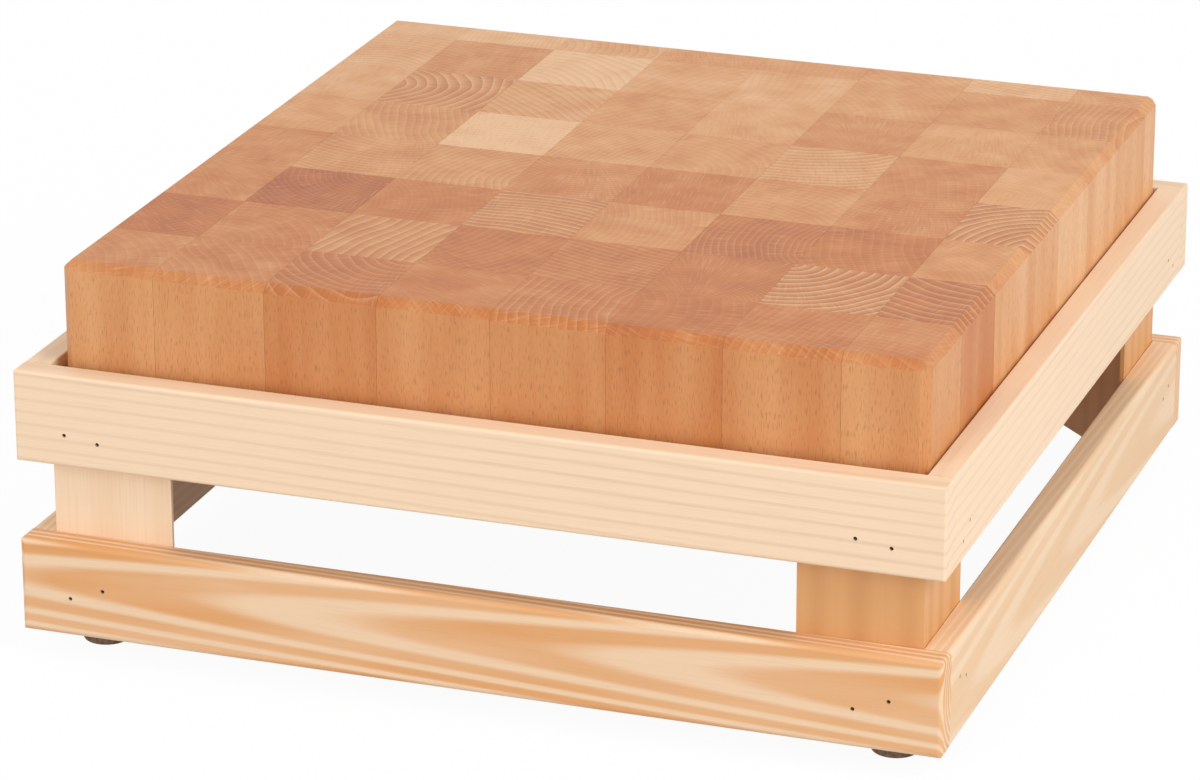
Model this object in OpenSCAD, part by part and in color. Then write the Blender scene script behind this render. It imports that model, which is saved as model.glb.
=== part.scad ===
// End-grain chopping block that lies loose in a slatted pine stand.
// Millimetres, Z up. The origin is at the middle of the stand, on the surface that it stands on.
// The front of the stand faces -Y and its right side faces +X.

/* [Block] */
// Width of the block, along X
block_w = 400; // [300:5:600]
// Depth of the block, along Y
block_d = 400; // [300:5:600]
// Thickness of the block, which is the length of its staves
block_h = 70; // [45:1:120]
// Chamfer along every edge of the block
block_chamfer = 4; // [1:0.5:8]
// Width of a full stave, along X
stave_w = 52.8; // [35:0.1:80]
// Depth of a full stave, along Y
stave_d = 54.2; // [35:0.1:80]
// Width left of the first stave at the left edge, where the block was trimmed
first_stave_w = 44.5; // [15:0.5:80]
// Depth left of the first row at the front edge, where the block was trimmed
first_stave_d = 49; // [15:0.5:80]
// Glue line between two staves
glue_line = 0.1; // [0.05:0.05:0.3]

/* [Play of the block in the stand] */
// Gap between the block and the left rail
gap_left = 5; // [0.5:0.5:10]
// Gap between the block and the right rail
gap_right = 1; // [0.5:0.5:10]
// Gap between the block and the front rail
gap_front = 4; // [0.5:0.5:10]
// Gap between the block and the back rail
gap_back = 2; // [0.5:0.5:10]
// How deep the block sits below the top of the upper rails
seat_depth = 22; // [12:1:26]

/* [Rails] */
// Thickness of every rail
rail_t = 12.5; // [10:0.5:20]
// Height of the upper rails
upper_rail_h = 43; // [38:1:70]
// Height of the lower rails
lower_rail_h = 45; // [35:1:70]
// Open height between the lower and the upper rails
rail_gap = 37; // [15:1:80]
// Clear height under the lower rails
floor_gap = 11; // [9:1:30]
// Rounding of the upper rails' outer edges
upper_round = 1.4; // [0.5:0.1:4]
// Rounding of the lower rails' outer edges
lower_round = 2.6; // [0.5:0.1:4]
// Rounding of every rail's inner edges
inner_round = 0.8; // [0.3:0.1:2]

/* [Corner posts] */
// Leg of a post's triangle, along each rail
post_leg = 57; // [53:1:75]
// Width of the flat that blunts a post's two sharp edges
post_blunt = 2; // [1:0.5:5]
// How far a post ends above the lower edge of the lower rails
post_recess = 3; // [0:0.5:8]

/* [Brads] */
// Diameter of a brad's shank
brad_d = 1.3; // [1:0.1:1.6]
// Length of a brad
brad_len = 30; // [22:1:32]
// Diameter of a brad's head
brad_head_d = 1.8; // [1.7:0.1:2.4]
// Height of a brad's head
brad_head_h = 0.8; // [0.5:0.1:1.2]
// How deep the head is set below the rail's face
brad_sink = 0.9; // [0.3:0.1:1.5]
// Distance of the outer brad from the end of the front and back rails
brad_end = 24; // [20:0.5:30]
// Step from the outer to the inner brad of the front and back rails
brad_step = 16; // [6:0.5:20]
// Distance of a side rail's outer brad from the front or back of the stand
side_brad_end = 27; // [20:0.5:30]
// Step from the outer to the inner brad of the side rails
side_brad_step = 10; // [6:0.5:16]
// How far the upper brads lie below the tops of the posts
upper_brad_drop = 7.4; // [6:0.1:9]
// Height of the lower brads over the lower rails' lower edge
lower_brad_z = 21; // [20:0.5:27]

/* [Feet] */
// Diameter of a rubber foot at its top
foot_d = 24; // [20:1:28]
// Diameter of a rubber foot on the floor
foot_floor_d = 22; // [18:1:26]
// Rounding of the foot's lower edge
foot_round = 1.5; // [0.5:0.1:2.5]
// Distance of a foot's centre from the two outer faces of its post
foot_inset = 16; // [14:0.5:18]
// Diameter of the recess for the screw's head
foot_recess_d = 11; // [10:0.5:13]
// Thickness of the foot over the recess, up to the post
foot_web = 7; // [5:0.5:8]
// Diameter of the screw's shank
screw_d = 3.5; // [3:0.1:4.5]
// Depth of the screw in the post
screw_depth = 12; // [8:1:13]
// Diameter of the screw's head
screw_head_d = 7; // [6:0.5:8]
// Height of the screw's head
screw_head_h = 2.4; // [1.8:0.1:3]
// Thickness of the washer under the head
washer_t = 1; // [0.6:0.1:1.5]

/* [Hidden] */
$fn = 48;
// Least depth of a row or column that is left at the trimmed edge of the block
least_trim = 12;
// Running clearance round brads, screws and washers, on the radius
fit = 0.05;
// Clearance between a washer's rim and the recess round it
washer_rim = 0.5;
// Thickness of the shallow cut that lets a tool start clear of a face
over = 1;
// Height difference between the two brads of a pair, by tier and by kind of rail
upper_slant = -2.4;
lower_slant = 5.6;
upper_side_drop = -5;
upper_side_rise = 6;
lower_side_drop = 7;
lower_side_rise = -3.5;

upper_tier = 1;
lower_tier = 0;
tiers = [lower_tier, upper_tier];
// Front, right, back and left, each a quarter turn on from the one before
sides = [0, 1, 2, 3];
ends = [-1, 1];

inner_w = gap_left + block_w + gap_right;
inner_d = gap_front + block_d + gap_back;
stand_w = inner_w + 2 * rail_t;
stand_d = inner_d + 2 * rail_t;

lower_z = floor_gap;
upper_z = lower_z + lower_rail_h + rail_gap;
rim_z = upper_z + upper_rail_h;
seat_z = rim_z - seat_depth;
foot_h = floor_gap + post_recess;
block_x = -inner_w / 2 + gap_left;
block_y = -inner_d / 2 + gap_front;

columns = 2 + floor((block_w - first_stave_w - least_trim) / stave_w);
rows = 2 + floor((block_d - first_stave_d - least_trim) / stave_d);

// The corners in order, each with its name and the signs of its X and Y
corners = [
    ["front_left", -1, -1],
    ["front_right", 1, -1],
    ["back_right", 1, 1],
    ["back_left", -1, 1],
];
side_names = ["front", "right", "back", "left"];

// Where stave i begins and ends along one direction of the block, clear of its glue lines
function stave_low(i, first, step) = i == 0 ? 0 : first + (i - 1) * step + glue_line / 2;
function stave_high(i, first, step, count, total) =
    i == count - 1 ? total : first + i * step - glue_line / 2;

// Sizes that depend on the side of the stand: a front or back rail is a full one
function is_full(side) = side % 2 == 0;
function face_dist(side) = (is_full(side) ? stand_d : stand_w) / 2;
function side_len(side) = is_full(side) ? stand_w : stand_d;
function rail_len(side) = side_len(side) - (is_full(side) ? 0 : 2 * rail_t);

// Sizes that depend on the tier
function tier_z(tier) = tier == upper_tier ? upper_z : lower_z;
function tier_h(tier) = tier == upper_tier ? upper_rail_h : lower_rail_h;
function tier_round(tier) = tier == upper_tier ? upper_round : lower_round;

// Place and height of brad j (0 is the outer one) at one end of a side's rail
function brad_along(side, end, j) = end * (side_len(side) / 2
    - (is_full(side) ? brad_end + j * brad_step : side_brad_end + j * side_brad_step));
function brad_base_z(tier) = tier == upper_tier ? seat_z - upper_brad_drop : lower_z + lower_brad_z;
function brad_shift(side, tier, end, j) = is_full(side)
    ? end * (0.5 - j) * (tier == upper_tier ? upper_slant : lower_slant)
    : (tier == upper_tier ? upper_side_drop + j * upper_side_rise
                          : lower_side_drop + j * lower_side_rise);
function brad_z(side, tier, end, j) = brad_base_z(tier) + brad_shift(side, tier, end, j);

// A square with a quarter circle cut from it, which rounds a corner of an outline
module corner_cut(r, turn) {
    rotate(turn)
        translate([-r, -r])
            difference() {
                square(r + over);
                circle(r);
            }
}

// A rectangle from (0, 0) to (w, h) with its corners rounded by r = [low left, low right, top right, top left]
module rounded_rect(w, h, r) {
    difference() {
        square([w, h]);
        if (r[0] > 0) corner_cut(r[0], 180);
        if (r[1] > 0) translate([w, 0]) corner_cut(r[1], 270);
        if (r[2] > 0) translate([w, h]) corner_cut(r[2], 0);
        if (r[3] > 0) translate([0, h]) corner_cut(r[3], 90);
    }
}

// The whole block as one chamfered solid, from (0, 0, 0)
module block_envelope() {
    c = block_chamfer;
    intersection() {
        linear_extrude(block_h)
            chamfered_rect(block_w, block_d, c);
        translate([0, block_d, 0])
            rotate([90, 0, 0])
                linear_extrude(block_d)
                    chamfered_rect(block_w, block_h, c);
        rotate([90, 0, 90])
            linear_extrude(block_w)
                chamfered_rect(block_d, block_h, c);
    }
}

module chamfered_rect(w, h, c) {
    polygon([[c, 0], [w - c, 0], [w, c], [w, h - c], [w - c, h], [c, h], [0, h - c], [0, c]]);
}

// One row of upright beech staves, parted by glue lines
module stave_row(row) {
    y0 = stave_low(row, first_stave_d, stave_d);
    y1 = stave_high(row, first_stave_d, stave_d, rows, block_d);
    translate([block_x, block_y, seat_z])
        for (col = [0:columns - 1]) {
            x0 = stave_low(col, first_stave_w, stave_w);
            x1 = stave_high(col, first_stave_w, stave_w, columns, block_w);
            color(stave_tone(row, col))
                intersection() {
                    block_envelope();
                    translate([x0, y0, 0])
                        cube([x1 - x0, y1 - y0, block_h]);
                }
        }
}

// Beech runs from a pale straw to a rosy brown from stave to stave
function stave_tone(row, col) =
    let (mix = (row * 5 + col * 3 + row * col) % 7 / 6)
    [0.87 - 0.09 * mix, 0.68 - 0.12 * mix, 0.50 - 0.12 * mix];

// A brad, or its hole: gap is added all round, and head_top is where the shape starts.
// Z runs from the rail's face inwards.
module brad_shape(gap, head_top) {
    tip = brad_d * 1.5;
    rotate_extrude()
        polygon([
            [0, head_top],
            [brad_head_d / 2 + gap, head_top],
            [brad_head_d / 2 + gap, brad_sink + brad_head_h + gap],
            [brad_d / 2 + gap, brad_sink + brad_head_h + gap],
            [brad_d / 2 + gap, brad_sink + brad_len - tip],
            [0, brad_sink + brad_len + 2 * gap],
        ]);
}

// Puts its children at a brad's place: Z runs from the rail's face inwards
module at_brad(side, tier, end, j) {
    rotate(90 * side)
        translate([brad_along(side, end, j), -face_dist(side), brad_z(side, tier, end, j)])
            rotate([-90, 0, 0])
                children();
}

module brad_holes(side, tier) {
    for (end = ends, j = [0, 1])
        at_brad(side, tier, end, j)
            brad_shape(fit, -over);
}

// One rail: full rails have rounded ends, and side rails butt square between them
module rail(side, tier) {
    len = rail_len(side);
    h = tier_h(tier);
    r = tier_round(tier);
    end_r = is_full(side) ? r * 0.9 : 0;
    face_r = is_full(side) ? r * 0.8 : 0;
    color(tier == upper_tier ? [0.96, 0.85, 0.70] : [0.91, 0.71, 0.48])
        difference() {
            rotate(90 * side)
                translate([-len / 2, -face_dist(side), tier_z(tier)])
                    intersection() {
                        rotate([90, 0, 90])
                            linear_extrude(len)
                                rounded_rect(rail_t, h, [r, inner_round, inner_round, r]);
                        linear_extrude(h)
                            rounded_rect(len, rail_t, [end_r, end_r, 0, 0]);
                        translate([0, rail_t, 0])
                            rotate([90, 0, 0])
                                linear_extrude(rail_t)
                                    rounded_rect(len, h, [face_r, face_r, face_r, face_r]);
                    }
            brad_holes(side, tier);
        }
}

// Puts its children at the inner corner of the rails, with X and Y pointing out of the stand
module at_corner(corner) {
    translate([corner[1] * inner_w / 2, corner[2] * inner_d / 2, 0])
        children();
}

// The two sides that meet at a corner, each with the end of it that lies there
function corner_ends(corner) = [
    corner[2] < 0 ? [0, corner[1]] : [2, -corner[1]],
    corner[1] > 0 ? [1, corner[2]] : [3, -corner[2]],
];

// A three-cornered post: its two legs lie on the rails, and the block rests on its top
module corner_post(corner) {
    sx = -corner[1];
    sy = -corner[2];
    color([0.92, 0.76, 0.56])
        difference() {
            at_corner(corner)
                translate([0, 0, foot_h])
                    linear_extrude(seat_z - foot_h)
                        polygon([
                            [0, 0],
                            [sx * post_leg, 0],
                            [sx * post_leg, sy * post_blunt],
                            [sx * post_blunt, sy * post_leg],
                            [0, sy * post_leg],
                        ]);
            for (place = corner_ends(corner), tier = tiers, j = [0, 1])
                at_brad(place[0], tier, place[1], j)
                    brad_shape(fit, -over);
            at_foot(corner)
                translate([0, 0, foot_h - over])
                    cylinder(r = screw_d / 2 + fit, h = screw_depth + over + 2 * fit);
        }
}

module at_foot(corner) {
    at_corner(corner)
        translate([-corner[1] * foot_inset, -corner[2] * foot_inset, 0])
            children();
}

// A rubber foot: tapered, rounded where it meets the floor, hollow for the screw's head
module foot(corner) {
    r0 = foot_floor_d / 2;
    hole_r = screw_d / 2 + fit;
    color([0.42, 0.31, 0.24])
        at_foot(corner)
            rotate_extrude()
                difference() {
                    polygon([
                        [hole_r, foot_h],
                        [foot_d / 2, foot_h],
                        [r0, foot_round],
                        [r0, 0],
                        [foot_recess_d / 2, 0],
                        [foot_recess_d / 2, foot_h - foot_web],
                        [hole_r, foot_h - foot_web],
                    ]);
                    translate([r0, 0]) corner_cut(foot_round, 270);
                }
}

// A flat steel washer between the screw's head and the rubber
module washer(corner) {
    color([0.75, 0.76, 0.78])
        at_foot(corner)
            translate([0, 0, foot_h - foot_web - washer_t])
                difference() {
                    cylinder(d = foot_recess_d - 2 * washer_rim, h = washer_t);
                    translate([0, 0, -over])
                        cylinder(r = screw_d / 2 + 2 * fit, h = washer_t + 2 * over);
                }
}

// A pan-head screw that holds the foot to its post, driven up from below
module foot_screw(corner) {
    head_z = foot_h - foot_web - washer_t - screw_head_h;
    tip = screw_d;
    slot = screw_head_d * 0.5;
    color([0.66, 0.67, 0.69])
        at_foot(corner)
            difference() {
                rotate_extrude()
                    polygon([
                        [0, head_z],
                        [screw_head_d / 2 - screw_head_h * 0.4, head_z],
                        [screw_head_d / 2, head_z + screw_head_h * 0.6],
                        [screw_head_d / 2, head_z + screw_head_h],
                        [screw_d / 2, head_z + screw_head_h],
                        [screw_d / 2, foot_h + screw_depth - tip],
                        [0, foot_h + screw_depth],
                    ]);
                for (turn = [0, 90])
                    rotate(turn)
                        translate([-slot / 2, -screw_head_h / 8, head_z - over])
                            cube([slot, screw_head_h / 4, screw_head_h * 0.55 + over]);
            }
}

module brads(tier) {
    color([0.55, 0.55, 0.56])
        for (side = sides, end = ends, j = [0, 1])
            at_brad(side, tier, end, j)
                brad_shape(0, brad_sink);
}

for (r = [1:rows])
    stave_row(r - 1);
for (s = sides)
    rail(s, upper_tier);
for (s = sides)
    rail(s, lower_tier);
for (c = corners)
    corner_post(c);
for (c = corners)
    foot(c);
for (c = corners) foot_screw(c);  // foot_screws
for (c = corners) washer(c);  // foot_washers
brads(upper_tier);  // upper_rail_brads
brads(lower_tier);  // lower_rail_brads
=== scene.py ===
# %% [markdown]
# An end-grain chopping block in a pine stand.
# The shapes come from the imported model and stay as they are. This script gives every piece its
# wood, rubber or steel, then adds the floor, the studio light and the camera.

# %% Load the frame
import math

import bpy
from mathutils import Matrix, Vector


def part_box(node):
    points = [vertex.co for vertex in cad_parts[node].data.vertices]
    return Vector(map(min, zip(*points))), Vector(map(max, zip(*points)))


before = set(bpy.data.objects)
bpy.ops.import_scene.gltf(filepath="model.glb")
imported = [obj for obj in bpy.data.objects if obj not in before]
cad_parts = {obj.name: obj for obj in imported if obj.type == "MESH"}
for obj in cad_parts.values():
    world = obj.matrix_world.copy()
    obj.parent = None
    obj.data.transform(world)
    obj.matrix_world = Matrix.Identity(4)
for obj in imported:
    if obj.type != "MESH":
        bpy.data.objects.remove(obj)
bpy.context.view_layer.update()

# %% [markdown]
# Wood is a solid, so its pattern is built in three dimensions: growth rings are nested cylinders
# round a pith line, and a sawn piece is a window cut out of them. The same rings then show as arcs
# on an end and as straight lines on a side, without any unwrapping. All pattern sizes are in
# millimetres, so the coordinates are scaled once from metres.

# %% Helpers for colours and nodes
MM_PER_M = 1000.0


def linear(hex_colour):
    """An sRGB hex colour as the linear RGBA that Blender's sockets expect."""
    parts = [int(hex_colour[i:i + 2], 16) / 255 for i in (1, 3, 5)]
    return [p / 12.92 if p <= 0.04045 else ((p + 0.055) / 1.055) ** 2.4 for p in parts] + [1.0]


def add(tree, kind, inputs=None, **settings):
    """Adds one node. settings are its properties, inputs are socket values or links."""
    made = tree.nodes.new("ShaderNode" + kind)
    for name, value in settings.items():
        setattr(made, name, value)
    for socket, value in (inputs or {}).items():
        if isinstance(value, bpy.types.NodeSocket):
            tree.links.new(value, made.inputs[socket])
        else:
            made.inputs[socket].default_value = value
    return made


def new_material(name, roughness, ior):
    """An empty material with one Principled shader, whose plain numbers sit on its own sockets."""
    material = bpy.data.materials.new(name)
    material.use_nodes = True
    tree = material.node_tree
    shader = tree.nodes["Principled BSDF"]
    shader.inputs["Roughness"].default_value = roughness
    shader.inputs["IOR"].default_value = ior
    return material, tree, shader


def object_mm(tree):
    """The surface point in millimetres, in the frame of the object."""
    point = add(tree, "TexCoord").outputs["Object"]
    return add(tree, "VectorMath", {0: point, "Scale": MM_PER_M}, operation="SCALE").outputs[0]


# %% [markdown]
# Oiled beech, cut across the grain. Sixty-four upright staves are glued side by side, and each
# was turned as it fell, so its rings curve another way and its tone differs. A white noise of the
# stave's row and column gives each stave its own fixed random numbers.

# %% Find each stave
# In mm. A cell is taller than the block, so that height starts no new one
STAVE_W = 52.8
FIRST_STAVE_W = 44.5
CELL_HEIGHT = 1000.0
row_1_low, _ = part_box("stave_row_1")
row_2_low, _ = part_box("stave_row_2")
row_3_low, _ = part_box("stave_row_3")
block_x = row_1_low.x * MM_PER_M
row_2_y = row_2_low.y * MM_PER_M
stave_d = (row_3_low.y - row_2_low.y) * MM_PER_M
print("stave depth:", round(stave_d, 2), "mm")


def stave_cell(tree, point):
    """Column and row of the stave, counted from the front left, and the place inside it."""
    origin = (block_x + FIRST_STAVE_W - STAVE_W, row_2_y - stave_d, 0)
    size = (STAVE_W, stave_d, CELL_HEIGHT)
    moved = add(tree, "VectorMath", {0: point, 1: origin}, operation="SUBTRACT").outputs[0]
    scaled = add(tree, "VectorMath", {0: moved, 1: size}, operation="DIVIDE").outputs[0]
    cell = add(tree, "VectorMath", {0: scaled}, operation="FLOOR").outputs[0]
    middle = add(tree, "VectorMath", {0: cell, 1: (0.5, 0.5, 0)}, operation="ADD").outputs[0]
    centre = add(tree, "VectorMath", {0: middle, 1: size}, operation="MULTIPLY").outputs[0]
    inside = add(tree, "VectorMath", {0: moved, 1: centre}, operation="SUBTRACT").outputs[0]
    return cell, inside


# %% [markdown]
# A few staves stand out. Some have bold, wide rings that curve tightly, because they were cut near
# the heart of the tree, and some are much paler or redder than their neighbours. Those are named by
# column and row, each with what sets it apart. The rest is left to chance, but for the tone, which
# also grows a little darker and rosier from row to row towards the front.

# %% What sets each stave apart
# Column and row: how much bolder the rings are, how much darker the tone, how many mm wider the
# rings, and how near the pith
FEATURE_STAVES = {
    (6, 1): (0.60, -0.22, 2.6, 1.0),
    (7, 1): (0.26, 0.10, 1.4, 0.4),
    (3, 2): (0.50, -0.05, 1.2, 0.0),
    (2, 1): (0.25, -0.18, 1.0, 0.0),
    (1, 2): (0.00, 0.20, 0.0, 0.0),
    (5, 2): (0.00, 0.18, 0.0, 0.0),
    (7, 3): (0.46, -0.12, 1.8, 0.0),
    (2, 4): (0.00, -0.32, 0.0, 0.0),
    (5, 4): (0.30, -0.10, 1.0, 0.6),
    (1, 5): (0.36, 0.12, 2.0, 0.7),
    (2, 6): (0.12, -0.42, 3.0, 0.0),
    (2, 0): (0.17, 0.08, 1.5, 0.5),
}
TONE_AT_FRONT = 0.53
TONE_PER_ROW = -0.062
TONE_SPREAD = 0.31
FAINTEST_RINGS = 0.09
RING_STRENGTH_SPREAD = 0.24
NARROWEST_RING_MM = 2.0
RING_WIDTH_SPREAD_MM = 2.8
SECOND_SET = (17, 5, 3)


def random_three(tree, cell, shift):
    """Three fixed random numbers for a stave. shift picks another set."""
    moved = add(tree, "VectorMath", {0: cell, 1: shift}, operation="ADD").outputs[0]
    noise = add(tree, "TexWhiteNoise", {"Vector": moved}, noise_dimensions="3D").outputs["Color"]
    return add(tree, "SeparateXYZ", {0: noise}).outputs


def with_features(tree, cell, values):
    """Adds each named stave's own share to the list of values, such as ring strength and tone."""
    values = list(values)
    for (column, row), shares in FEATURE_STAVES.items():
        apart = add(tree, "VectorMath", {0: cell, 1: (column, row, 0)}, operation="DISTANCE")
        here = add(tree, "Math", {0: apart.outputs["Value"], 1: 0.5},
                   operation="LESS_THAN").outputs[0]
        for i, share in enumerate(shares):
            if share:
                values[i] = add(tree, "Math", {0: here, 1: share, 2: values[i]},
                                operation="MULTIPLY_ADD").outputs[0]
    return values


def stave_looks(tree, cell):
    """Where a stave's pith lies (its bearing, and how far off from -1 to 0), then the strength of
    its rings, its tone and the width of its rings in mm."""
    first = random_three(tree, cell, (0, 0, 0))
    second = random_three(tree, cell, SECOND_SET)
    row = add(tree, "SeparateXYZ", {0: cell}).outputs[1]
    front = add(tree, "Math", {0: row, 1: TONE_PER_ROW, 2: TONE_AT_FRONT},
                operation="MULTIPLY_ADD").outputs[0]
    tone = add(tree, "Math", {0: second[0], 1: TONE_SPREAD, 2: front},
               operation="MULTIPLY_ADD").outputs[0]
    rare = add(tree, "Math", {0: second[1], 1: 2.0}, operation="POWER").outputs[0]
    strength = add(tree, "Math", {0: rare, 1: RING_STRENGTH_SPREAD, 2: FAINTEST_RINGS},
                   operation="MULTIPLY_ADD").outputs[0]
    width = add(tree, "Math", {0: first[2], 1: RING_WIDTH_SPREAD_MM, 2: NARROWEST_RING_MM},
                operation="MULTIPLY_ADD").outputs[0]
    far = add(tree, "Math", {0: first[1], 1: -1.0}, operation="MULTIPLY").outputs[0]
    strength, tone, width, near = with_features(tree, cell, [strength, tone, width, far])
    reach = add(tree, "Math", {0: near, 1: 0.0}, operation="MINIMUM").outputs[0]
    return first[0], reach, strength, tone, width


print("staves that stand out:", len(FEATURE_STAVES))

# %% [markdown]
# The rings of a stave are circles round its pith, which lies outside it, 38 to 298 mm from its
# middle. They wander a little and are 2.0 to 4.8 mm wide, and wider still in some of the named
# staves. A saw wave along the radius gives each ring its two sides: dark, dense late wood that
# swells slowly, and a thin pale line of early wood where the next year starts.

# %% Growth rings
NEAREST_PITH_MM = 38.0
PITH_SPREAD_MM = 260.0
WANDER_MM = 9.0
WANDER_SCALE = 0.028
ALONG_GRAIN = 0.12
LATE_SHARPNESS = 2.4
EARLY_SHARPNESS = 5.0


def place_from_pith(tree, inside, bearing_share, reach_share):
    """Place in mm seen from the stave's pith: how far round, and how far out."""
    bearing = add(tree, "Math", {0: bearing_share, 1: 2 * math.pi}, operation="MULTIPLY").outputs[0]
    squared = add(tree, "Math", {0: reach_share, 1: reach_share}, operation="MULTIPLY").outputs[0]
    reach = add(tree, "Math", {0: squared, 1: PITH_SPREAD_MM, 2: NEAREST_PITH_MM},
                operation="MULTIPLY_ADD").outputs[0]
    east = add(tree, "Math", {0: bearing}, operation="COSINE").outputs[0]
    north = add(tree, "Math", {0: bearing}, operation="SINE").outputs[0]
    direction = add(tree, "CombineXYZ", {0: east, 1: north}).outputs[0]
    pith = add(tree, "VectorMath", {0: direction, "Scale": reach}, operation="SCALE").outputs[0]
    flat = add(tree, "VectorMath", {0: inside, 1: (1, 1, 0)}, operation="MULTIPLY").outputs[0]
    from_pith = add(tree, "VectorMath", {0: flat, 1: pith}, operation="SUBTRACT").outputs[0]
    radius = add(tree, "VectorMath", {0: from_pith}, operation="LENGTH").outputs["Value"]
    east, north, _ = add(tree, "SeparateXYZ", {0: from_pith}).outputs
    angle = add(tree, "Math", {0: north, 1: east}, operation="ARCTAN2").outputs[0]
    round_way = add(tree, "Math", {0: angle, 1: reach}, operation="MULTIPLY").outputs[0]
    return round_way, radius


def ring_sides(tree, slow, radius, width):
    """How much late and how much early wood there is at a point."""
    stray = add(tree, "TexNoise", {"Vector": slow, "Scale": WANDER_SCALE, "Detail": 1.0}).outputs[0]
    bent = add(tree, "Math", {0: stray, 1: WANDER_MM, 2: radius},
               operation="MULTIPLY_ADD").outputs[0]
    years = add(tree, "Math", {0: bent, 1: width}, operation="DIVIDE").outputs[0]
    saw = add(tree, "Math", {0: years}, operation="FRACT").outputs[0]
    late = add(tree, "Math", {0: saw, 1: LATE_SHARPNESS}, operation="POWER").outputs[0]
    rest = add(tree, "Math", {0: 1.0, 1: saw}, operation="SUBTRACT").outputs[0]
    early = add(tree, "Math", {0: rest, 1: EARLY_SHARPNESS}, operation="POWER").outputs[0]
    return late, early


# %% [markdown]
# Beech runs from straw to a rosy brown. Oil darkens the thirsty end grain more than the sides, so
# less is taken off the tone there. The rings show on the end grain and all but fade on the sides,
# which were cut along them. How far the surface faces up tells the two apart, and the chamfer
# round the top counts as end grain.

# %% Tones and rings of beech
BEECH_TONES = [(0.0, "#ECBD8F"), (0.35, "#D99A63"), (0.7, "#C27338"), (1.0, "#A85727")]
BEECH_LATEWOOD = "#9A5E38"
BEECH_EARLYWOOD = "#EBC398"
SIDE_PALER = 0.45
END_PALER = 0.28
CLOUD_SCALE = 0.05
CLOUD_STRENGTH = 0.6
RINGS_ON_SIDE = 0.1
SIDE_SLOPE = 0.4
END_SLOPE = 0.72


def end_grain_share(tree):
    """One on the end grain and its chamfer, zero on the sides of the staves."""
    normal = add(tree, "TexCoord").outputs["Normal"]
    upward = add(tree, "SeparateXYZ", {0: normal}).outputs[2]
    return add(tree, "MapRange", {0: upward, 1: SIDE_SLOPE, 2: END_SLOPE}).outputs[0]


def colour_ramp(tree, level, stops):
    ramp = add(tree, "ValToRGB", {0: level})
    for i, (place, colour) in enumerate(stops):
        stop = ramp.color_ramp.elements[i] if i < 2 else ramp.color_ramp.elements.new(place)
        stop.position = place
        stop.color = linear(colour)
    return ramp.outputs[0]


def beech_tone(tree, slow, tone, end_grain):
    """The colour of a stave without its rings, with soft clouds in it."""
    cloud = add(tree, "TexNoise", {"Vector": slow, "Scale": CLOUD_SCALE, "Detail": 3.0}).outputs[0]
    clouded = add(tree, "Math", {0: cloud, 1: CLOUD_STRENGTH, 2: tone},
                  operation="MULTIPLY_ADD").outputs[0]
    paler = add(tree, "MapRange", {0: end_grain, 3: SIDE_PALER, 4: END_PALER}).outputs[0]
    level = add(tree, "Math", {0: clouded, 1: paler}, operation="SUBTRACT").outputs[0]
    return colour_ramp(tree, level, BEECH_TONES)


def with_rings(tree, wood, late, early, strength, end_grain):
    share = add(tree, "MapRange", {0: end_grain, 3: RINGS_ON_SIDE, 4: 1.0}).outputs[0]
    shown = add(tree, "Math", {0: strength, 1: share}, operation="MULTIPLY").outputs[0]
    dark = add(tree, "Math", {0: late, 1: shown}, operation="MULTIPLY").outputs[0]
    light = add(tree, "Math", {0: early, 1: shown}, operation="MULTIPLY").outputs[0]
    ringed = add(tree, "Mix", {0: dark, 6: wood, 7: linear(BEECH_LATEWOOD)},
                 data_type="RGBA").outputs[2]
    return add(tree, "Mix", {0: light, 6: ringed, 7: linear(BEECH_EARLYWOOD)},
               data_type="RGBA").outputs[2]


# %% [markdown]
# Two fine marks tell beech from other woods. Rays are streaks that cross the rings on the end
# grain, 0.8 mm wide and some 12 mm long. Vessels run up the stave, and show as dark dashes 4 mm
# long on its sides and as specks on its end. Each is one noise, stretched to those sizes.

# %% Rays and vessels
# A Map Range node takes its input range from sockets 1 and 2, and its output range from 3 and 4
BEECH_VESSEL = "#8C4A20"
RAYS_PER_MM = (1.2, 0.08, 0)
PALE_RAYS = {1: 0.52, 2: 0.72, 3: 0.0, 4: 0.22}
DARK_RAYS = {1: 0.48, 2: 0.28, 3: 0.0, 4: 0.2}
VESSELS_PER_MM = (1.9, 1.9, 0.24)
VESSEL_EDGE = {1: 0.54, 2: 0.74}
VESSELS_ON_SIDE = 0.42
VESSELS_ON_END = 0.2


def with_rays(tree, wood, round_way, radius, end_grain):
    place = add(tree, "CombineXYZ", {0: round_way, 1: radius}).outputs[0]
    scaled = add(tree, "VectorMath", {0: place, 1: RAYS_PER_MM}, operation="MULTIPLY").outputs[0]
    noise = add(tree, "TexNoise", {"Vector": scaled, "Scale": 1.0, "Detail": 3.0}).outputs[0]
    pale = add(tree, "MapRange", {0: noise, **PALE_RAYS}).outputs[0]
    dark = add(tree, "MapRange", {0: noise, **DARK_RAYS}).outputs[0]
    pale_share = add(tree, "Math", {0: pale, 1: end_grain}, operation="MULTIPLY").outputs[0]
    dark_share = add(tree, "Math", {0: dark, 1: end_grain}, operation="MULTIPLY").outputs[0]
    lit = add(tree, "Mix", {0: pale_share, 6: wood, 7: linear(BEECH_EARLYWOOD)},
              data_type="RGBA").outputs[2]
    return add(tree, "Mix", {0: dark_share, 6: lit, 7: linear(BEECH_LATEWOOD)},
               data_type="RGBA").outputs[2]


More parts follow.
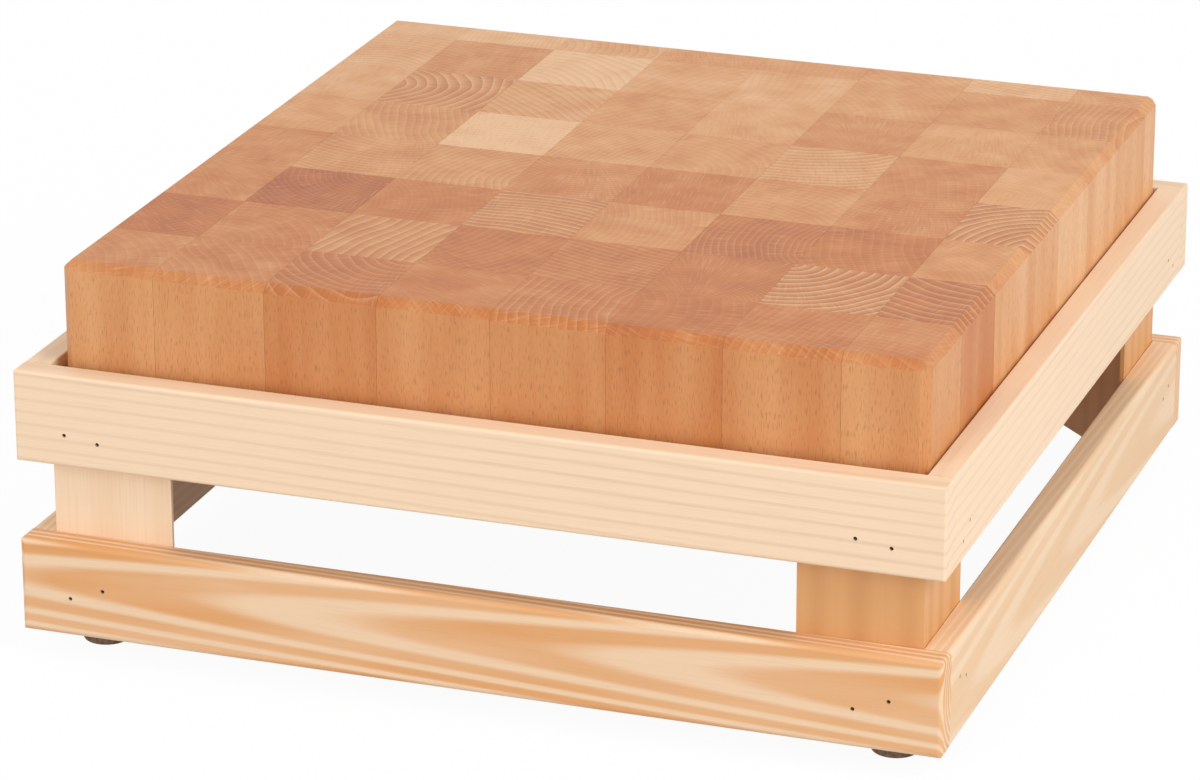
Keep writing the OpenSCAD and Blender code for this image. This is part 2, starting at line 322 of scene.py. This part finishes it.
def vessel_share(tree, point, end_grain):
    """How much of a point is open vessel."""
    fine = add(tree, "VectorMath", {0: point, 1: VESSELS_PER_MM}, operation="MULTIPLY").outputs[0]
    noise = add(tree, "TexNoise", {"Vector": fine, "Scale": 1.0, "Detail": 1.0}).outputs[0]
    dash = add(tree, "MapRange", {0: noise, **VESSEL_EDGE}).outputs[0]
    weight = add(tree, "MapRange", {0: end_grain, 3: VESSELS_ON_SIDE, 4: VESSELS_ON_END}).outputs[0]
    return add(tree, "Math", {0: dash, 1: weight}, operation="MULTIPLY").outputs[0]


# %% [markdown]
# Put together, that is the block: one material for all its staves, with a satin coat of oil. The
# open vessels are also pressed in a little, so the light catches them.

# %% Oiled beech
def oiled_beech():
    material, tree, shader = new_material("oiled_beech", roughness=0.5, ior=1.5)
    point = object_mm(tree)
    cell, inside = stave_cell(tree, point)
    bearing, reach, strength, tone, width = stave_looks(tree, cell)
    end_grain = end_grain_share(tree)
    slow = add(tree, "VectorMath", {0: point, 1: (1, 1, ALONG_GRAIN)},
               operation="MULTIPLY").outputs[0]
    round_way, radius = place_from_pith(tree, inside, bearing, reach)
    late, early = ring_sides(tree, slow, radius, width)

    wood = beech_tone(tree, slow, tone, end_grain)
    ringed = with_rings(tree, wood, late, early, strength, end_grain)
    rayed = with_rays(tree, ringed, round_way, radius, end_grain)
    vessels = vessel_share(tree, point, end_grain)
    colour = add(tree, "Mix", {0: vessels, 6: rayed, 7: linear(BEECH_VESSEL)},
                 data_type="RGBA").outputs[2]
    tree.links.new(colour, shader.inputs["Base Color"])
    bump = add(tree, "Bump", {"Strength": 0.15, "Distance": 0.0002, "Height": vessels}, invert=True)
    tree.links.new(bump.outputs[0], shader.inputs["Normal"])
    return material


beech = oiled_beech()
print("made", beech.name, "with", len(beech.node_tree.nodes), "nodes")

# %% [markdown]
# Planed pine. Its rings are wide, soft and pale with a darker late side. A rail that was sawn
# beside the pith shows broad flames on its face, and one sawn far from it shows straight lines.
# The place of the pith beside the rail is what tells the two apart, so each piece gets its own.

# %% Planed pine
PINE_FIBRE = "#B98D5E"
WAVE_SCALE = 0.02
PATCH_SCALE = 0.05
WEAKEST_PATCH = 0.55
HAIRS_PER_MM = 1.6
HAIRS_PER_MM_ALONG = 0.025
HAIR_EDGE = {1: 0.5, 2: 0.8, 3: 0.0, 4: 0.16}


def across_and_along(along, across_value, along_value):
    """Three values, one of them for the axis that the grain runs along."""
    return [along_value if axis == along else across_value for axis in range(3)]


def pine_rings(tree, moved, slow, along, spacing, taper, edge, wander, shift):
    """How much late wood there is at a point, from 0 to 1."""
    flat = add(tree, "VectorMath", {0: moved, 1: across_and_along(along, 1.0, 0.0)},
               operation="MULTIPLY").outputs[0]
    radius = add(tree, "VectorMath", {0: flat}, operation="LENGTH").outputs["Value"]
    length = add(tree, "SeparateXYZ", {0: moved}).outputs[along]
    coned = add(tree, "Math", {0: length, 1: taper, 2: radius}, operation="MULTIPLY_ADD").outputs[0]
    wave = add(tree, "TexNoise", {"Vector": slow, "Scale": WAVE_SCALE, "Detail": 1.5}).outputs[0]
    bent = add(tree, "Math", {0: wave, 1: wander, 2: coned}, operation="MULTIPLY_ADD").outputs[0]
    years = add(tree, "Math", {0: bent, 1: 1 / spacing, 2: -shift},
                operation="MULTIPLY_ADD").outputs[0]
    off_pale = add(tree, "Math", {0: years, 1: 0.5}, operation="PINGPONG").outputs[0]
    return add(tree, "MapRange", {0: off_pale, 1: edge[0], 2: edge[1]},
               interpolation_type="SMOOTHSTEP").outputs[0]


def planed_pine(name, along, pith, spacing, taper, edge, pale, late, strength, wander, shift=0.0):
    """Pine with its grain along axis 0, 1 or 2, whose rings, spacing mm apart, go round the point
    pith. taper is how much the tree narrows along the piece, edge is where pale turns to late
    wood, wander is how far in mm the rings stray, and shift moves them by a share of a ring."""
    material, tree, shader = new_material(name, roughness=0.55, ior=1.5)
    point = object_mm(tree)
    moved = add(tree, "VectorMath", {0: point, 1: pith}, operation="SUBTRACT").outputs[0]
    slow = add(tree, "VectorMath", {0: moved, 1: across_and_along(along, 1.0, ALONG_GRAIN)},
               operation="MULTIPLY").outputs[0]
    band = pine_rings(tree, moved, slow, along, spacing, taper, edge, wander, shift)
    patch = add(tree, "TexNoise", {"Vector": slow, "Scale": PATCH_SCALE, "Detail": 2.0}).outputs[0]
    uneven = add(tree, "MapRange", {0: patch, 1: 0.3, 2: 0.7, 3: WEAKEST_PATCH * strength,
                                    4: strength}).outputs[0]
    amount = add(tree, "Math", {0: band, 1: uneven}, operation="MULTIPLY").outputs[0]
    ringed = add(tree, "Mix", {0: amount, 6: linear(pale), 7: linear(late)},
                 data_type="RGBA").outputs[2]

    # Fibres: hair lines 0.6 mm apart and some 40 mm long
    hair = across_and_along(along, HAIRS_PER_MM, HAIRS_PER_MM_ALONG)
    fine = add(tree, "VectorMath", {0: moved, 1: hair}, operation="MULTIPLY").outputs[0]
    fibre = add(tree, "TexNoise", {"Vector": fine, "Scale": 1.0, "Detail": 2.0}).outputs[0]
    line = add(tree, "MapRange", {0: fibre, **HAIR_EDGE}).outputs[0]
    colour = add(tree, "Mix", {0: line, 6: ringed, 7: linear(PINE_FIBRE)},
                 data_type="RGBA").outputs[2]
    tree.links.new(colour, shader.inputs["Base Color"])
    bump = add(tree, "Bump", {"Strength": 0.2, "Distance": 0.0002, "Height": fibre})
    tree.links.new(bump.outputs[0], shader.inputs["Normal"])
    return material


# %% [markdown]
# The upper rails were sawn far from the pith, so they carry faint straight lines. The lower ones
# come from beside it, and show wide flames, orange in front and behind and milder at the sides.
# The grain of the posts is upright. The two on the left are as pale as the upper rails, and the
# two on the right are more orange.

# %% Give the rails and posts their pine
ALONG_X, ALONG_Y, ALONG_Z = 0, 1, 2


def dress(node, material):
    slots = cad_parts[node].data.materials
    slots.clear()
    slots.append(material)


def middle_mm(node):
    low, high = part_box(node)
    return [(a + b) / 2 * MM_PER_M for a, b in zip(low, high)]


def pine_piece(node, along, offset, **look):
    """Gives a node pine whose pith lies at offset, in mm, from the middle of the node."""
    pith = [m + o for m, o in zip(middle_mm(node), offset)]
    dress(node, planed_pine(node + "_pine", along, pith, **look))


UPPER = {"spacing": 5.6, "taper": 0.012, "edge": (0.26, 0.5), "pale": "#F6D8B7", "late": "#D2AB88",
         "wander": 9.0}
LOWER = {"spacing": 3.32, "taper": -0.02, "edge": (0.08, 0.34), "wander": 1.4, "shift": 0.386}
FLAMED = {"pale": "#F1CFAB", "late": "#E09C5A", "strength": 0.95}
MILD = {"pale": "#F2D3B0", "late": "#E4B27C", "strength": 0.55}
POST = {"spacing": 13.0, "taper": 0.01, "edge": (0.1, 0.5), "wander": 8.0, "strength": 0.5}
PALE_POST = {"pale": "#FADCBB", "late": "#F0CAA2"}
ORANGE_POST = {"pale": "#DEA56B", "late": "#C88750"}

pine_piece("upper_front_rail", ALONG_X, (0, 40, -190), strength=0.36, shift=0.25, **UPPER)
pine_piece("upper_back_rail", ALONG_X, (0, -30, 160), strength=0.36, **UPPER)
pine_piece("upper_left_rail", ALONG_Y, (35, 0, -170), strength=0.3, shift=0.55, **UPPER)
pine_piece("upper_right_rail", ALONG_Y, (-40, 0, 180), strength=0.28, **UPPER)
pine_piece("lower_front_rail", ALONG_X, (0, 25.7, 4.5), **LOWER, **FLAMED)
pine_piece("lower_back_rail", ALONG_X, (0, -24, 4), **LOWER, **FLAMED)
pine_piece("lower_left_rail", ALONG_Y, (30, 0, 8), **LOWER, **MILD)
pine_piece("lower_right_rail", ALONG_Y, (-48, 0, -5), **LOWER, **MILD)
pine_piece("corner_post_front_left", ALONG_Z, (-60, 90, 0), **POST, **PALE_POST)
pine_piece("corner_post_front_right", ALONG_Z, (80, 60, 0), **POST, **ORANGE_POST)
pine_piece("corner_post_back_right", ALONG_Z, (50, -90, 0), **POST, **ORANGE_POST)
pine_piece("corner_post_back_left", ALONG_Z, (-70, -70, 0), **POST, **PALE_POST)
STAVE_ROWS = 8
for row in range(1, STAVE_ROWS + 1):
    dress(f"stave_row_{row}", beech)
print("wood on", sum(len(o.data.materials) > 0 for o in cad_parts.values()), "nodes")

# %% [markdown]
# The feet are brown rubber, moulded with a dull skin and a mottle of lighter filler. Their screws
# and washers are zinc-plated steel, which has dulled to a soft grey. The brads are cut from bare
# steel wire. Their heads are coloured near black: dull steel, with painted shade from their sunk
# holes.

# %% Rubber and steel
def moulded_rubber():
    material, tree, shader = new_material("moulded_rubber", roughness=0.75, ior=1.52)
    point = object_mm(tree)
    mottle = add(tree, "TexNoise", {"Vector": point, "Scale": 0.5, "Detail": 4.0}).outputs[0]
    mixed = add(tree, "MapRange", {0: mottle, 1: 0.35, 2: 0.7}).outputs[0]
    colour = add(tree, "Mix", {0: mixed, 6: linear("#6E5543"), 7: linear("#9A7E68")},
                 data_type="RGBA").outputs[2]
    tree.links.new(colour, shader.inputs["Base Color"])
    bump = add(tree, "Bump", {"Strength": 0.3, "Distance": 0.0003, "Height": mottle})
    tree.links.new(bump.outputs[0], shader.inputs["Normal"])
    return material


def zinc_plated_steel():
    material, tree, shader = new_material("zinc_plated_steel", roughness=0.4, ior=1.5)
    shader.inputs["Metallic"].default_value = 1.0
    point = object_mm(tree)
    spot = add(tree, "TexNoise", {"Vector": point, "Scale": 1.2, "Detail": 3.0}).outputs[0]
    colour = add(tree, "Mix", {0: spot, 6: linear("#6E6A66"), 7: linear("#A8A49E")},
                 data_type="RGBA").outputs[2]
    tree.links.new(colour, shader.inputs["Base Color"])
    return material


def wire_with_painted_shade():
    material, tree, shader = new_material("wire_with_painted_shade", roughness=0.7, ior=1.5)
    shader.inputs["Metallic"].default_value = 0.6
    point = object_mm(tree)
    spot = add(tree, "TexNoise", {"Vector": point, "Scale": 1.5, "Detail": 3.0}).outputs[0]
    # Near-black brad heads: dull steel, with painted shade from the sunk holes mixed into these
    # colours
    colour = add(tree, "Mix", {0: spot, 6: linear("#2E2722"), 7: linear("#54483E")},
                 data_type="RGBA").outputs[2]
    tree.links.new(colour, shader.inputs["Base Color"])
    return material


rubber = moulded_rubber()
wire = wire_with_painted_shade()
steel = zinc_plated_steel()
for corner in ("front_left", "front_right", "back_right", "back_left"):
    dress("foot_" + corner, rubber)
for node in ("foot_screws", "foot_washers"):
    dress(node, steel)
for node in ("upper_rail_brads", "lower_rail_brads"):
    dress(node, wire)
print("bare nodes:", [n for n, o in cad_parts.items() if not o.data.materials])

# %% [markdown]
# The studio: a white floor and a white world. Both show plain white to the camera and in gloss by
# way of Light Path, so no extra light has to fall on the wood to get there. A small share of the
# floor stays a lit surface, and that share carries the soft shadow of the stand. The two shares
# add up to white where no shadow falls.

# %% Floor and world
FLOOR_SIZE = 12.0
FLOOR_COLOUR = "#CFCFCF"
FLOOR_SHARE_OF_WHITE = 0.92
FLOOR_GLOW = 1.03
FLOOR_CLEARANCE = 0.0002
WHITE = (1, 1, 1, 1)
WORLD_LIGHT = 0.62


def seen_rays(tree):
    """One for rays that show the background: from the camera, from gloss or through glass."""
    path = add(tree, "LightPath").outputs
    gloss = add(tree, "Math", {0: path["Is Camera Ray"], 1: path["Is Glossy Ray"]},
                operation="MAXIMUM").outputs[0]
    return add(tree, "Math", {0: gloss, 1: path["Is Transmission Ray"]},
               operation="MAXIMUM").outputs[0]


bpy.ops.mesh.primitive_plane_add(size=FLOOR_SIZE, location=(0, 0, -FLOOR_CLEARANCE))
floor = bpy.context.object
floor.name = "floor"
floor_material, floor_tree, floor_shader = new_material("white_sweep", roughness=0.9, ior=1.45)
floor_shader.inputs["Base Color"].default_value = linear(FLOOR_COLOUR)
glow = add(floor_tree, "Emission", {"Color": WHITE, "Strength": FLOOR_GLOW}).outputs[0]
share = add(floor_tree, "Math", {0: seen_rays(floor_tree), 1: FLOOR_SHARE_OF_WHITE},
            operation="MULTIPLY").outputs[0]
blended = add(floor_tree, "MixShader", {0: share, 1: floor_shader.outputs[0], 2: glow}).outputs[0]
floor_tree.links.new(blended, floor_tree.nodes["Material Output"].inputs["Surface"])
floor.data.materials.append(floor_material)

world = bpy.data.worlds.new("studio")
bpy.context.scene.world = world
world.use_nodes = True
sky = world.node_tree.nodes["Background"]
sky.inputs["Color"].default_value = WHITE
bright = add(world.node_tree, "MapRange", {0: seen_rays(world.node_tree), 3: WORLD_LIGHT, 4: 1.0})
world.node_tree.links.new(bright.outputs[0], sky.inputs["Strength"])
print("floor and world, lit at", WORLD_LIGHT)

# %% [markdown]
# Three soft boxes: a key high on the right, a fill in front, and a weak one low behind, so that
# the back of the stand isn't left grey. The one behind shows in no gloss, because it would lay a
# pale sheen over the top when that is seen from in front.

# %% Lamps
AIM = (0, 0, 0.1)


def soft_box(name, place, size, power, shines=True):
    """A square lamp that faces the object. Without shines it lights but shows in no gloss."""
    lamp = bpy.data.lights.new(name, "AREA")
    lamp.shape = "SQUARE"
    lamp.size = size
    lamp.energy = power
    holder = bpy.data.objects.new(name, lamp)
    bpy.context.scene.collection.objects.link(holder)
    holder.location = place
    away = holder.location - Vector(AIM)
    holder.rotation_euler = away.to_track_quat("Z", "Y").to_euler()
    holder.visible_glossy = shines


soft_box("key", (2.0, -0.7, 1.5), size=1.4, power=32)
soft_box("fill", (-0.7, -2.4, 1.1), size=1.6, power=20)
soft_box("rear", (-1.3, 2.1, 0.8), size=1.6, power=9, shines=False)
print("lamps:", [lamp.name for lamp in bpy.data.lights])

# %% [markdown]
# The camera stands in front and to the right, and looks down. A long lens from two and a half
# metres away keeps the edges nearly parallel, as they are in a catalogue picture.

# %% Camera
CAMERA_PLACE = (0.7575, -2.1838, 0.9447)
CAMERA_AZIMUTH = 19.27
CAMERA_ELEVATION = 20.32
LENS_MM = 157.1
SENSOR_MM = 36.0
SHIFT_X = -0.0151
SHIFT_Y = -0.0197

camera_data = bpy.data.cameras.new("camera")
camera_data.lens = LENS_MM
camera_data.sensor_width = SENSOR_MM
camera_data.shift_x = SHIFT_X
camera_data.shift_y = SHIFT_Y
camera = bpy.data.objects.new("camera", camera_data)
bpy.context.scene.collection.objects.link(camera)
camera.location = CAMERA_PLACE
camera.rotation_euler = (math.radians(90 - CAMERA_ELEVATION), 0, math.radians(CAMERA_AZIMUTH))
bpy.context.scene.camera = camera
bpy.context.scene.view_settings.view_transform = "Standard"
print("camera at", [round(part, 2) for part in camera.location])
